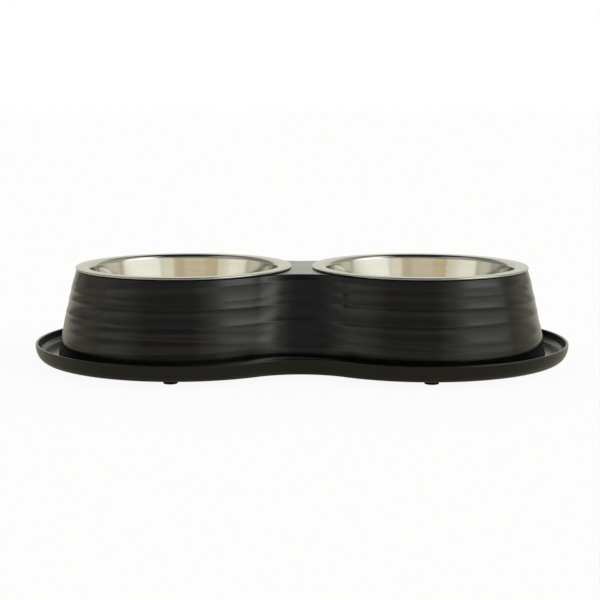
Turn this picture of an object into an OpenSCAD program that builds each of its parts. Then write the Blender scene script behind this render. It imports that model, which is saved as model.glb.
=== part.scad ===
// Double pet bowl: two steel bowls hang by their rims in a rippled, peanut-shaped stand on a spill tray.
// The origin is on the ground, midway between the bowls. X runs from bowl to bowl and +Z is up.

/* [Bowls] */
// Distance between the centres of the two bowls
bowl_spacing = 175.2; // [168:0.2:190]
// Outside diameter of a bowl's rolled rim
rim_d = 160; // [150:0.5:164]
// Width of the rim, from its outer edge to the start of the curve into the bowl
rim_w = 7.4; // [6:0.1:12]
// Radius of the curve from the rim into the bowl
mouth_r = 3.6; // [1.8:0.1:4.4]
// Diameter of the rolled edge
bead_d = 1.7; // [1.4:0.1:2.6]
// Thickness of the steel
steel_t = 0.7; // [0.5:0.05:1]
// Depth of a bowl, from the top of its rim to its underside
bowl_depth = 52; // [36:0.5:58]
// Lean of the bowl's wall from upright, in degrees
bowl_wall_angle = 9; // [4:0.5:18]
// Inside radius of the curve between the wall and the bottom
bowl_corner_r = 14; // [6:0.5:20]

/* [Stand] */
// Height of the stand, from the floor of the tray to the top plate
stand_h = 62.7; // [60:0.1:80]
// How far the top plate runs past the rolled rims, or stops short of them where it is less than 0
stand_margin = -0.7; // [-1:0.1:4]
// Width of the top plate across the waist
waist_top_w = 84.2; // [60:0.2:100]
// Width of the base across the waist
waist_base_w = 134.4; // [110:0.2:150]
// How far the wall flares out round each bowl, from top to base
flare = 14.3; // [10:0.1:20]
// How far the wall bows out between its top and its base
wall_bow = 0.35; // [0:0.05:1.5]
// Thickness of the wall
wall_t = 3; // [2:0.1:4]
// Thickness of the top plate
plate_t = 3; // [2:0.1:4]
// Radius of the shoulder between the plate and the wall
shoulder_r = 0.8; // [0.5:0.1:2.5]
// Clearance between a bowl's wall and its opening in the plate
opening_gap = 1.3; // [0.9:0.1:2.5]
// Clearance between a bowl's rolled edge and the plate
seat_gap = 0.2; // [0.1:0.05:0.4]
// Depth of the collar that turns down round each opening, from the top of the plate
collar_h = 11; // [5:0.5:20]
// Thickness of that collar
collar_t = 2.4; // [1.5:0.1:3.5]

/* [Ripples] */
// Depth of the deepest ripple
ripple_depth = 0.65; // [0:0.05:1]
// Height over which a ripple swells out above its edge
ripple_swell = 3.6; // [2:0.1:5]
// Height over which it falls back below its edge
ripple_fall = 3; // [0.8:0.1:4]
// How far the wall draws in under its lowest ripple, at the waist
undercut_depth = 1.3; // [0:0.05:1.6]
// Height over which it draws in and comes out again
undercut_h = 7; // [4:0.5:10]
// How far from the middle the deeper undercut of the waist reaches
undercut_reach = 32; // [20:1:45]

/* [Tray] */
// Width of the spill channel between the stand's base and the tray's rim
channel_w = 14.6; // [8:0.2:20]
// Height of the tray, from its underside to the top of its rim
tray_h = 12.3; // [12:0.1:18]
// Thickness of the tray's floor
floor_t = 3.3; // [2.6:0.1:4.5]
// Thickness of the tray's rim
lip_t = 2; // [1.9:0.1:4]
// Radius of the top edges of the rim
lip_edge_r = 0.9; // [0.4:0.1:0.9]
// Width of the tray's lower outer corner, which is a quarter of an ellipse
tray_corner_w = 7.8; // [5:0.1:9]
// Height of that corner
tray_corner_h = 11; // [6:0.1:11]
// Radius of the cove between the floor and the inside of the rim
cove_r = 5; // [2:0.1:6]

/* [Feet and screws] */
// Distance from the edge of the stand's base in to each foot and screw
foot_inset = 8.6; // [8.2:0.1:10]
// Diameter of a foot
foot_d = 10; // [8:0.1:11]
// How far outwards of its bowl's centre each foot and screw lies
foot_out = 2.4; // [0:0.1:6]
// Height of a foot below the tray
foot_h = 4.5; // [2.5:0.1:8]
// Radius of the foot's lower edge
foot_edge_r = 0.3; // [0.2:0.1:1.2]
// Diameter of the well that takes the screw's head and the foot's spigot
well_d = 6.2; // [6:0.1:7]
// Depth of that well
well_h = 3.6; // [3.3:0.1:4.2]
// Height of the foot's spigot
spigot_h = 1.3; // [0.8:0.1:1.5]
// Diameter of the pads on the tray's floor that the stand's bosses stand on
pad_d = 10; // [9:0.2:10.6]
// Height of those pads
pad_h = 2.2; // [1.8:0.1:3]
// Outside diameter of the screw's thread
screw_d = 3; // [2.6:0.1:3.4]
// Length of a screw below its head
screw_l = 12; // [9:0.5:13]
// Diameter of a screw's head
screw_head_d = 5.6; // [5:0.1:5.8]
// Height of a screw's head
screw_head_h = 1.9; // [1.4:0.1:2]
// Diameter of the bosses in the stand
boss_d = 8; // [7:0.2:9]
// Height of those bosses
boss_h = 13; // [12:0.5:16]
// How much narrower the bosses' pilot holes are than the thread, across the diameter
thread_bite = 0.5; // [0.2:0.05:0.7]

/* [Hidden] */

// Number of straight steps in each arc of the stand's outline, and of rings up its wall
lobe_steps = 38;
waist_steps = 11;
wall_rings = 40;
shoulder_rings = 3;
cavity_rings = 5;
// Number of straight steps in the small arcs of the tray's edge and of the turned pieces
corner_steps = 6;
edge_steps = 3;
arc_steps = 8;
bead_steps = 16;
round_steps = 96;
// Overrun of every cut past the surface that it opens
cut_over = 1;

// Heights
tray_z = foot_h;
floor_z = tray_z + floor_t;
plate_z = floor_z + stand_h;
rim_z = plate_z + seat_gap + bead_d;

// Outline of the stand: two round lobes joined by hollow arcs
half_spacing = bowl_spacing/2;
lobe_top_r = rim_d/2 + stand_margin;
waist_flare = (waist_base_w - waist_top_w)/2;
lobe_base_r = lobe_top_r + flare;

// Outline of the tray: the base of the stand, grown by the spill channel and the rim
tray_grow = channel_w + lip_t;
tray_lobe_r = lobe_base_r + tray_grow;
tray_waist = waist_base_w/2 + tray_grow;

// Inside of a bowl
rim_r = rim_d/2;
mouth_top_r = rim_r - rim_w;
bead_r = bead_d/2;
opening_r = mouth_top_r - mouth_r + steel_t + opening_gap;
bowl_floor = -(bowl_depth - steel_t);

// Feet and screws
foot_x = half_spacing + foot_out;
foot_y = lobe_base_r - foot_inset;
spigot_gap = 0.1;
head_z = tray_z + well_h;
pad_z = floor_z + pad_h;
pilot_d = screw_d - thread_bite;
pilot_end_t = 1;
rib_t = 2;
recess_w = 0.9;
recess_l = 3.2;
recess_h = 1.1;
point_l = 2;
screw_clearance = 0.4;

// Ripples: the height of each edge as a share of the wall's height, at even steps of its way round.
// The first step is at the front of the waist's right end, and the others follow anticlockwise.
ripple_path_shares = [
    [0.94, 0.92, 0.88, 0.87, 0.89, 0.92, 0.93, 0.89, 0.85, 0.85, 0.92, 0.94],
    [0.82, 0.83, 0.81, 0.78, 0.77, 0.78, 0.80, 0.81, 0.80, 0.78, 0.76, 0.77],
    [0.70, 0.70, 0.67, 0.66, 0.69, 0.70, 0.68, 0.67, 0.67, 0.68, 0.69, 0.68],
    [0.51, 0.51, 0.52, 0.53, 0.54, 0.52, 0.49, 0.49, 0.51, 0.52, 0.50, 0.50],
    [0.38, 0.33, 0.32, 0.36, 0.42, 0.43, 0.40, 0.37, 0.39, 0.44, 0.48, 0.41],
    [0.27, 0.22, 0.21, 0.24, 0.30, 0.32, 0.29, 0.26, 0.28, 0.33, 0.36, 0.29],
    [0.20, 0.15, 0.14, 0.15, 0.18, 0.20, 0.18, 0.14, 0.14, 0.16, 0.21, 0.23]
];
// How deep each ripple is, and how blunt its edge is beside the height over which it swells
ripple_depth_shares = [0.7, 0.6, 1, 1, 0.8, 0.8, 0.7];
ripple_blunt_shares = [0.3, 0.1, 0.1, 0.1, 0.5, 0.5, 0.5];
// The height of the middle of the undercut, at the same steps
undercut_path_shares = [0.07, 0.065, 0.08, 0.09, 0.07, 0.095, 0.07, 0.07, 0.09, 0.075, 0.075, 0.095];
// How deep the undercut is round the lobes, beside its depth at the waist
undercut_lobe_share = 0.35;
// How unevenly a ripple's depth changes on the way round
ripple_fade_share = 0.15;
// Turn between one ripple's deepest places and the next one's, in degrees
ripple_turn = 137;

// Radius of the hollow arcs that join two lobes and pass at half_w from the middle
function hollow_r(lobe_r, half_w) =
    (half_spacing*half_spacing + half_w*half_w - lobe_r*lobe_r)/(2*(lobe_r - half_w));

// One turn round an outline, anticlockwise, as points and outward directions: [x, y, nx, ny]
function outline(lobe_r, half_w) =
    let (
        hr = hollow_r(lobe_r, half_w),
        hy = half_w + hr,
        join = atan2(hy, half_spacing),
        lobe_turn = 360 - 2*join,
        hollow_turn = 180 - 2*join
    )
    concat(
        [for (i = [0:lobe_steps - 1]) let (t = join - 180 + lobe_turn*i/lobe_steps)
            [half_spacing + lobe_r*cos(t), lobe_r*sin(t), cos(t), sin(t)]],
        [for (i = [0:waist_steps - 1]) let (t = -join - hollow_turn*i/waist_steps)
            [hr*cos(t), hy + hr*sin(t), -cos(t), -sin(t)]],
        [for (i = [0:lobe_steps - 1]) let (t = join + lobe_turn*i/lobe_steps)
            [-half_spacing + lobe_r*cos(t), lobe_r*sin(t), cos(t), sin(t)]],
        [for (i = [0:waist_steps - 1]) let (t = 180 - join - hollow_turn*i/waist_steps)
            [hr*cos(t), -hy + hr*sin(t), -cos(t), -sin(t)]]
    );

// The share of the wall's height at which a ripple's edge lies, on a smooth curve through its path
function path_share(path, turn) =
    let (
        n = len(path),
        step = turn*n/360,
        i = floor(step),
        f = step - i,
        p = [for (k = [n - 1:n + 2]) path[(i + k)%n]]
    )
    p[1] + f/2*(p[2] - p[0] + f*(2*p[0] - 5*p[1] + 4*p[2] - p[3] + f*(3*p[1] - 3*p[2] + p[3] - p[0])));

// How far one ripple swells the wall at a height above or below its edge
function swell(above, blunt) =
    exp((blunt - norm([above, blunt]))/(above > 0 ? ripple_swell : ripple_fall));

// How far the wall draws in under its lowest ripple, at a distance x from the middle
function undercut(turn, x, z) =
    let (
        off = 2*(z - stand_h*path_share(undercut_path_shares, turn))/undercut_h,
        waist_share = exp(-x*x/(undercut_reach*undercut_reach)),
        share = undercut_lobe_share + (1 - undercut_lobe_share)*waist_share
    )
    share*undercut_depth*exp(-off*off);

// How far the wall stands out at a place on its way round, in degrees, at a distance x from the
// middle and a height above its base
function ripple(turn, x, z) =
    let (
        fade = max(0, min(1, min(stand_h - shoulder_r - z, z)/ripple_swell)),
        parts = [for (i = [0:len(ripple_path_shares) - 1])
            let (
                edge_z = stand_h*path_share(ripple_path_shares[i], turn),
                strength = 1 - ripple_fade_share*(1 + sin(3*turn - ripple_turn*i))
            )
            ripple_depth_shares[i]*strength*swell(z - edge_z, ripple_swell*ripple_blunt_shares[i])]
    )
    fade*(ripple_depth*(parts*[for (p = parts) 1]) - undercut(turn, x, z));

// Growth of the outline at a height above the base: [round the lobes, at the waist]
function growth(z) =
    let (down_share = 1 - z/stand_h, bow = wall_bow*sin(180*down_share))
    [flare*down_share + bow, waist_flare*down_share + bow];

// One ring of the wall: its outline at a height, moved in by inset, with or without ripples
function ring(z, inset, depth_scale) =
    let (
        grow = growth(z),
        line = outline(lobe_top_r + grow[0] - inset, waist_top_w/2 + grow[1] - inset),
        n = len(line)
    )
    [for (i = [0:n - 1])
        let (out = depth_scale == 0 ? 0 : depth_scale*ripple(360*i/n, line[i][0], z))
        [line[i][0] + out*line[i][2], line[i][1] + out*line[i][3], z]];

// A closed solid through rings of equally many points, from the lowest to the highest
module loft(rings) {
    n = len(rings[0]);
    m = len(rings);
    bottom = [[0, 0, rings[0][0][2]]];
    top = [[0, 0, rings[m - 1][0][2]]];
    points = concat([for (r = rings) each r], bottom, top);
    sides = [for (k = [0:m - 2]) for (i = [0:n - 1])
        let (a = k*n + i, b = k*n + (i + 1)%n, c = a + n, d = b + n)
        each [[a, c, b], [b, c, d]]];
    under = [for (i = [0:n - 1]) [m*n, i, (i + 1)%n]];
    over = [for (i = [0:n - 1]) [m*n + 1, (m - 1)*n + (i + 1)%n, (m - 1)*n + i]];
    polyhedron(points = points, faces = concat(sides, under, over), convexity = 8);
}

// The stand's outer body, solid, standing on z = 0
module stand_body() {
    wall_h = stand_h - shoulder_r;
    loft(concat(
        [for (k = [0:wall_rings]) ring(wall_h*k/wall_rings, 0, 1)],
        [for (k = [1:shoulder_rings]) let (t = 90*k/shoulder_rings)
            ring(wall_h + shoulder_r*sin(t), shoulder_r*(1 - cos(t)), 0)]
    ));
}

// The hollow inside the stand
module stand_hollow() {
    low = -cut_over;
    high = stand_h - plate_t;
    loft([for (k = [0:cavity_rings]) ring(low + (high - low)*k/cavity_rings, wall_t, 0)]);
}

// Places of the four feet and screws, as [x side, y side]
corners = [[-1, -1], [1, -1], [-1, 1], [1, 1]];

module at_corner(i) {
    translate([corners[i][0]*foot_x, corners[i][1]*foot_y, 0]) children();
}

// What stays solid inside the stand: collars round the openings, and bosses on ribs
module stand_inside() {
    for (side = [-1, 1])
        translate([side*half_spacing, 0, stand_h - collar_h])
            cylinder(r = opening_r + collar_t, h = collar_h, $fn = round_steps);
    for (i = [0:3])
        at_corner(i) translate([0, 0, pad_h]) {
            cylinder(d = boss_d, h = boss_h, $fn = round_steps);
            translate([-rib_t/2, corners[i][1] > 0 ? 0 : -foot_inset, 0])
                cube([rib_t, foot_inset, boss_h]);
        }
}

module stand_shell() {
    color([0.13, 0.13, 0.13]) translate([0, 0, floor_z]) difference() {
        stand_body();
        difference() {
            stand_hollow();
            stand_inside();
        }
        for (side = [-1, 1])
            translate([side*half_spacing, 0, stand_h - collar_h - cut_over])
                cylinder(r = opening_r, h = collar_h + 2*cut_over, $fn = round_steps);
        for (i = [0:3])
            at_corner(i) translate([0, 0, pad_h - cut_over])
                cylinder(d = pilot_d, h = boss_h - pilot_end_t + cut_over, $fn = round_steps);
    }
}

// Points of an arc about (x, z), from one angle to another
function arc(x, z, r, from, to, steps) =
    [for (k = [0:steps]) let (t = from + (to - from)*k/steps) [x + r*cos(t), z + r*sin(t)]];

// Edge of the tray seen in section, from its underside over the rim to its floor.
// Distances are measured inwards from the tray's outer face, with the inside to the right.
function tray_edge() = concat(
    [for (p = arc(tray_corner_w, tray_corner_w, tray_corner_w, 270, 180, corner_steps))
        [p[0], p[1]*tray_corner_h/tray_corner_w]],
    arc(lip_edge_r, tray_h - lip_edge_r, lip_edge_r, 180, 90, edge_steps),
    arc(lip_t - lip_edge_r, tray_h - lip_edge_r, lip_edge_r, 90, 0, edge_steps),
    arc(lip_t + cove_r, floor_t + cove_r, cove_r, 180, 270, corner_steps)
);

// The tray's body: a ring of the outline for each point of its edge
module tray_body() {
    loft([for (p = tray_edge())
        [for (q = outline(tray_lobe_r - p[0], tray_waist - p[0])) [q[0], q[1], p[1]]]]);
}

module base_tray() {
    color([0.15, 0.145, 0.135]) translate([0, 0, tray_z]) difference() {
        union() {
            tray_body();
            for (i = [0:3])
                at_corner(i) cylinder(d = pad_d, h = floor_t + pad_h, $fn = round_steps);
        }
        for (i = [0:3])
            at_corner(i) translate([0, 0, -cut_over]) {
                cylinder(d = well_d, h = well_h + cut_over, $fn = round_steps);
                cylinder(d = screw_d + screw_clearance, h = floor_t + pad_h + 2*cut_over, $fn = round_steps);
            }
    }
}

// Section of a bowl from its rolled edge to its middle, with z = 0 at the top of the rim
function bowl_section() =
    let (
        lean = bowl_wall_angle,
        hook = asin((bead_r - steel_t)/bead_r),
        corner_z = bowl_floor + bowl_corner_r,
        mouth_end = [mouth_top_r - mouth_r*cos(lean), mouth_r*(sin(lean) - 1)],
        wall_l = (mouth_end[1] - corner_z + bowl_corner_r*sin(lean))/cos(lean),
        corner_x = mouth_end[0] - wall_l*sin(lean) - bowl_corner_r*cos(lean)
    )
    concat(
        arc(rim_r - bead_r, -bead_r, bead_r, hook - 180, 90, bead_steps),
        arc(mouth_top_r, -mouth_r, mouth_r, 90, 180 - lean, arc_steps),
        arc(corner_x, corner_z, bowl_corner_r, -lean, -90, arc_steps),
        [[0, bowl_floor], [0, bowl_floor - steel_t]],
        arc(corner_x, corner_z, bowl_corner_r + steel_t, -90, -lean, arc_steps),
        arc(mouth_top_r, -mouth_r, mouth_r - steel_t, 180 - lean, 90, arc_steps)
    );

module bowl(side) {
    color([0.78, 0.78, 0.79]) translate([side*half_spacing, 0, rim_z])
        rotate_extrude($fn = round_steps) polygon(bowl_section());
}

module bowl_left() { bowl(-1); }
module bowl_right() { bowl(1); }

// A rubber foot: a disc below the tray, with a spigot that plugs the well over the screw
module foot(i) {
    color([0.07, 0.07, 0.07]) at_corner(i)
        rotate_extrude($fn = round_steps)
            polygon(concat(
                [[0, 0]],
                arc(foot_d/2 - foot_edge_r, foot_edge_r, foot_edge_r, 270, 360, arc_steps),
                [[foot_d/2, foot_h],
                 [well_d/2 - spigot_gap, foot_h],
                 [well_d/2 - spigot_gap, foot_h + spigot_h],
                 [0, foot_h + spigot_h]]
            ));
}

module foot_front_left() { foot(0); }
module foot_front_right() { foot(1); }
module foot_back_left() { foot(2); }
module foot_back_right() { foot(3); }

// A self-tapping screw, head down, driven up through the tray into a boss
module screw(i) {
    color([0.7, 0.7, 0.72]) at_corner(i) difference() {
        union() {
            translate([0, 0, head_z - screw_head_h])
                cylinder(d = screw_head_d, h = screw_head_h, $fn = round_steps);
            translate([0, 0, head_z - screw_head_h/2])
                cylinder(d = screw_d, h = screw_head_h/2 + screw_l - point_l, $fn = round_steps);
            translate([0, 0, head_z + screw_l - point_l])
                rotate_extrude($fn = round_steps)
                    polygon([[0, 0], [screw_d/2, 0], [0, point_l]]);
        }
        for (turn = [0, 90])
            rotate([0, 0, turn])
                translate([-recess_l/2, -recess_w/2, head_z - screw_head_h - cut_over])
                    cube([recess_l, recess_w, recess_h + cut_over]);
    }
}

module screw_front_left() { screw(0); }
module screw_front_right() { screw(1); }
module screw_back_left() { screw(2); }
module screw_back_right() { screw(3); }

stand_shell();
base_tray();
bowl_left();
bowl_right();
foot_front_left();
foot_front_right();
foot_back_left();
foot_back_right();
screw_front_left();
screw_front_right();
screw_back_left();
screw_back_right();
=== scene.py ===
# Double pet bowl: two spun steel bowls hang by their rims in a rippled black stand on a spill tray.
# Sizes are in millimetres, as on the drawing, and become metres where a mesh is made.
import math
import bpy
from mathutils.geometry import tessellate_polygon
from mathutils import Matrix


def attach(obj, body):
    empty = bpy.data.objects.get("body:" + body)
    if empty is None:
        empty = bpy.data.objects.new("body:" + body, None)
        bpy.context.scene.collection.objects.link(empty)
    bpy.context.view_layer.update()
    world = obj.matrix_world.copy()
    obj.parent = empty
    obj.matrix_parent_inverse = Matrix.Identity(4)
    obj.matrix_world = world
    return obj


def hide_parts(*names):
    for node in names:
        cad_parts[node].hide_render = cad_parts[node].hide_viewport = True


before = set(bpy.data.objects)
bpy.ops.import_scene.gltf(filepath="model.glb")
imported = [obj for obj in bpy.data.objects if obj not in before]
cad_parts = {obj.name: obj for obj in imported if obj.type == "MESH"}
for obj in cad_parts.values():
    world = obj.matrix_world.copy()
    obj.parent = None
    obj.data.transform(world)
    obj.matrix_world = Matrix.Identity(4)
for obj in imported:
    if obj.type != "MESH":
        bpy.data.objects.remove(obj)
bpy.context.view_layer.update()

MM = 0.001


# Bowls
HALF_SPACING = 87.6
RIM_R = 80.0
RIM_W = 7.4
MOUTH_R = 3.6
BEAD_R = 0.85
STEEL_T = 0.7
BOWL_DEPTH = 52.0
BOWL_LEAN = 9.0
BOWL_CORNER_R = 14.0
BOWL_FLOOR_SHARES = (0.75, 0.5, 0.25)
RIM_Z = 72.4

# Stand
STAND_H = 62.7
LOBE_TOP_R = 79.3
WAIST_TOP = 42.1
FLARE = 14.3
WAIST_FLARE = 25.1
WALL_BOW = 0.35
WALL_T = 3.0
PLATE_T = 3.0
SHOULDER_R = 0.8
OPENING_R = 71.0
COLLAR_H = 11.0
COLLAR_T = 2.4
SOFT_EDGE = 0.4
FLOOR_Z = 7.8

# Tray
TRAY_Z = 4.5
TRAY_LOBE_R = 110.18
TRAY_WAIST = 83.8
TRAY_H = 12.3
TRAY_FLOOR_T = 3.3
LIP_T = 2.0
LIP_EDGE_R = 0.9
TRAY_CORNER_W = 7.8
TRAY_CORNER_H = 11.0
COVE_R = 5.0

# Feet, and the wells and pads of the tray above them
FOOT_X = 90.0
FOOT_Y = 85.0
FOOT_R = 5.0
FOOT_H = 4.5
FOOT_EDGE_R = 0.3
FOOT_TOP_EDGE_R = 0.2
SPIGOT_R = 3.0
SPIGOT_H = 1.3
WELL_R = 3.1
WELL_H = 3.6
PAD_R = 5.0
PAD_H = 2.2
SCREW_HOLE_R = 1.7

# Screws
THREAD_R = 1.5
CORE_R = 1.25
THREAD_PITCH = 1.3
CREST_SHARE = 0.22
NECK_L = 0.6
SCREW_L = 12.0
POINT_L = 2.0
# How far the tip of the point, and the last ring round it, end short of the full length
POINT_CUT = 0.03
LAST_RING_CUT = 0.05
SHANK_IN_HEAD = 0.3
HEAD_R = 2.8
HEAD_H = 1.9
HEAD_ROUND_R = 0.7
HEAD_EDGE_R = 0.15
HEAD_Z = TRAY_Z + WELL_H
RECESS_W = 0.9
RECESS_L = 3.2
RECESS_H = 1.1
RECESS_TAPER = 0.72
CUT_OVER = 1.0

# Bosses inside the stand that take the screws
BOSS_R = 4.0
BOSS_H = 13.0
BOSS_END_T = 1.0
RIB_T = 2.0
FOOT_INSET = 8.6

SIDES = (-1, 1)
CORNERS = [(side, end) for side in SIDES for end in SIDES]

# Fineness of the meshes, in steps round or along
LOBE_STEPS = 170
WAIST_STEPS = 40
WALL_RINGS = 150
SHOULDER_STEPS = 8
BASE_EDGE_STEPS = 4
HOLLOW_RINGS = 6
OPENING_STEPS = 160
COLLAR_TOP_STEPS = 4
TRAY_CORNER_STEPS = 24
LIP_STEPS = 8
COVE_STEPS = 16
BOWL_STEPS = 224
BEAD_STEPS = 26
MOUTH_STEPS = 20
BOWL_CORNER_STEPS = 24
FOOT_STEPS = 64
FOOT_EDGE_STEPS = 8
SMALL_STEPS = 40
EDGE_STEPS = 3
FINE_EDGE_STEPS = 2
HEAD_ROUND_STEPS = 6
THREAD_STEPS = 32
THREAD_RINGS = 110

# Ripples: height of each edge at even steps of its way round, as a share of the wall's height
RIPPLE_PATHS = [
    [0.94, 0.92, 0.88, 0.87, 0.89, 0.92, 0.93, 0.89, 0.85, 0.85, 0.92, 0.94],
    [0.82, 0.83, 0.81, 0.78, 0.77, 0.78, 0.80, 0.81, 0.80, 0.78, 0.76, 0.77],
    [0.70, 0.70, 0.67, 0.66, 0.69, 0.70, 0.68, 0.67, 0.67, 0.68, 0.69, 0.68],
    [0.51, 0.51, 0.52, 0.53, 0.54, 0.52, 0.49, 0.49, 0.51, 0.52, 0.50, 0.50],
    [0.38, 0.33, 0.32, 0.36, 0.42, 0.43, 0.40, 0.37, 0.39, 0.44, 0.48, 0.41],
    [0.27, 0.22, 0.21, 0.24, 0.30, 0.32, 0.29, 0.26, 0.28, 0.33, 0.36, 0.29],
    [0.20, 0.15, 0.14, 0.15, 0.18, 0.20, 0.18, 0.14, 0.14, 0.16, 0.21, 0.23],
]
RIPPLE_DEPTHS = [0.7, 0.6, 1.0, 1.0, 0.8, 0.8, 0.7]
RIPPLE_BLUNTS = [0.3, 0.1, 0.1, 0.1, 0.5, 0.5, 0.5]
RIPPLE_DEPTH = 0.65
RIPPLE_SWELL = 3.6
RIPPLE_FALL = 3.0
RIPPLE_FADE = 0.15
# How many times each ripple grows deep and shallow on its way round
RIPPLE_BEATS = 3
# How far that runs behind the ripple above, in degrees of one beat
RIPPLE_TURN = 137.0

# The wall draws in under its lowest ripple: height of the middle of that undercut, as a share
UNDERCUT_PATH = [0.07, 0.065, 0.08, 0.09, 0.07, 0.095, 0.07, 0.07, 0.09, 0.075, 0.075, 0.095]
UNDERCUT_DEPTH = 1.3
UNDERCUT_REACH = 32.0
UNDERCUT_LOBE_SHARE = 0.35
UNDERCUT_H = 7.0


# Shapes

class Skin:
    """Points and faces of one piece, gathered ring by ring. Rings run anticlockwise seen from above."""

    def __init__(self):
        self.points = []
        self.faces = []
        self.flat_faces = []

    def ring(self, points):
        first = len(self.points)
        self.points.extend(points)
        return list(range(first, len(self.points)))

    def band(self, start, end):
        """Faces between two rings, facing outwards where end lies above start."""
        count = len(start)
        for i in range(count):
            j = (i + 1) % count
            self.faces.append((start[i], start[j], end[j], end[i]))

    def bands(self, rings):
        for start, end in zip(rings, rings[1:]):
            self.band(start, end)

    def flat(self, outer, holes, facing_up):
        """A flat face at one height between an outer ring and the rings of its holes."""
        loops = [outer] + holes
        places = [[self.points[i] for i in loop] for loop in loops]
        order = [i for loop in loops for i in loop]
        for a, b, c in tessellate_polygon(places):
            face = [order[a], order[b], order[c]]
            (ax, ay, _), (bx, by, _), (cx, cy, _) = (self.points[i] for i in face)
            turns_left = (bx - ax) * (cy - ay) - (by - ay) * (cx - ax) > 0
            if turns_left != facing_up:
                face.reverse()
            self.flat_faces.append(len(self.faces))
            self.faces.append(tuple(face))

    def turned(self, x, y, section, steps):
        """Rings of a turned section of (radius, height) points about an upright axis."""
        rings = [self.ring(circle(x, y, radius, height, steps)) for radius, height in section]
        self.bands(rings)
        return rings

    def cap(self, ring, x, y, height, facing_up):
        """Closes a ring with a fan of faces round its middle."""
        middle = self.ring([(x, y, height)])[0]
        count = len(ring)
        for i in range(count):
            j = (i + 1) % count
            self.faces.append((middle, ring[i], ring[j]) if facing_up else (middle, ring[j], ring[i]))

    def lids(self, low, high):
        """Closes a low and a high ring, each with one face."""
        self.faces.append(tuple(reversed(low)))
        self.faces.append(tuple(high))

    def piece(self, name):
        mesh = bpy.data.meshes.new(name)
        mesh.from_pydata([(x * MM, y * MM, z * MM) for x, y, z in self.points], [], self.faces)
        smooth = [True] * len(self.faces)
        for i in self.flat_faces:
            smooth[i] = False
        mesh.polygons.foreach_set("use_smooth", smooth)
        mesh.update()
        return placed(name, mesh)


def placed(name, mesh):
    """An object at the origin for a mesh, in the scene."""
    made = bpy.data.objects.new(name, mesh)
    bpy.context.scene.collection.objects.link(made)
    return made


def circle(x, y, radius, height, steps):
    """Points of a level circle about (x, y)."""
    angles = [2 * math.pi * i / steps for i in range(steps)]
    return [(x + radius * math.cos(a), y + radius * math.sin(a), height) for a in angles]


def arc(x, z, r, start, end, steps):
    """Points of an arc about (x, z), from one angle to another, in degrees."""
    angles = [math.radians(start + (end - start) * k / steps) for k in range(steps + 1)]
    return [(x + r * math.cos(a), z + r * math.sin(a)) for a in angles]


def outline(lobe_r, half_w):
    """The peanut outline as (x, y, outward x, outward y): two round lobes joined by hollow arcs."""
    hollow_r = (HALF_SPACING**2 + half_w**2 - lobe_r**2) / (2 * (lobe_r - half_w))
    hollow_y = half_w + hollow_r
    join = math.atan2(hollow_y, HALF_SPACING)
    lobe_turn = 2 * math.pi - 2 * join
    hollow_turn = math.pi - 2 * join
    places = []
    for side, start in ((1, join - math.pi), (-1, join)):
        for i in range(LOBE_STEPS):
            a = start + lobe_turn * i / LOBE_STEPS
            x = side * HALF_SPACING + lobe_r * math.cos(a)
            places.append((x, lobe_r * math.sin(a), math.cos(a), math.sin(a)))
        first = -join if side == 1 else math.pi - join
        for i in range(WAIST_STEPS):
            a = first - hollow_turn * i / WAIST_STEPS
            y = side * hollow_y + hollow_r * math.sin(a)
            places.append((hollow_r * math.cos(a), y, -math.cos(a), -math.sin(a)))
    return places


def stand_outline(height, inset):
    """The stand's outline at a height above its base, moved in by inset."""
    down = 1 - height / STAND_H
    bow = WALL_BOW * math.sin(math.pi * down)
    return outline(LOBE_TOP_R + FLARE * down + bow - inset, WAIST_TOP + WAIST_FLARE * down + bow - inset)


# Node trees

NUMBER = "NodeSocketFloat"
WHOLE_NUMBER = "NodeSocketInt"
VECTOR = "NodeSocketVector"
SHAPE = "NodeSocketGeometry"
OBJECT = "NodeSocketObject"
FINISH = "NodeSocketMaterial"

# Places of sockets that share a name with others of their node
MIX_SHARE = 0
MIX_FIRST = 6
MIX_SECOND = 7
MIX_RESULT = 2
RANDOM_MOST = 3
RANDOM_RESULT = 1


def feed(tree, socket, value):
    """Links a socket to another, or sets its value."""
    if isinstance(value, bpy.types.NodeSocket):
        tree.links.new(value, socket)
    else:
        socket.default_value = value


def result_of(tree, operation, *values):
    """A Math node with its values fed in; gives its result."""
    node = tree.nodes.new("ShaderNodeMath")
    node.operation = operation
    for socket, value in zip(node.inputs, values):
        feed(tree, socket, value)
    return node.outputs[0]


def square_of(tree, value):
    return result_of(tree, "MULTIPLY", value, value)


def length_of(tree, first, second):
    """The length of the slanting side over two sides at a right angle."""
    return result_of(tree, "SQRT", result_of(tree, "ADD", square_of(tree, first), square_of(tree, second)))


def bell(tree, value):
    """A bell curve: 1 where the value is 0, falling off on both sides."""
    return result_of(tree, "EXPONENT", result_of(tree, "MULTIPLY", square_of(tree, value), -1.0))


def parts_of(tree, vector):
    """The X, Y and Z of a vector."""
    node = tree.nodes.new("ShaderNodeSeparateXYZ")
    feed(tree, node.inputs[0], vector)
    return node.outputs


def between(tree, value, low, high, to_low, to_high):
    """Spreads a value between two limits onto two others."""
    node = tree.nodes.new("ShaderNodeMapRange")
    for label, number in (("From Min", low), ("From Max", high), ("To Min", to_low), ("To Max", to_high)):
        feed(tree, node.inputs[label], number)
    feed(tree, node.inputs["Value"], value)
    return node.outputs[0]


def mixed(tree, share, first, second):
    """A colour between two others."""
    node = tree.nodes.new("ShaderNodeMix")
    node.data_type = "RGBA"
    feed(tree, node.inputs[MIX_SHARE], share)
    feed(tree, node.inputs[MIX_FIRST], first)
    feed(tree, node.inputs[MIX_SECOND], second)
    return node.outputs[MIX_RESULT]


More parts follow.
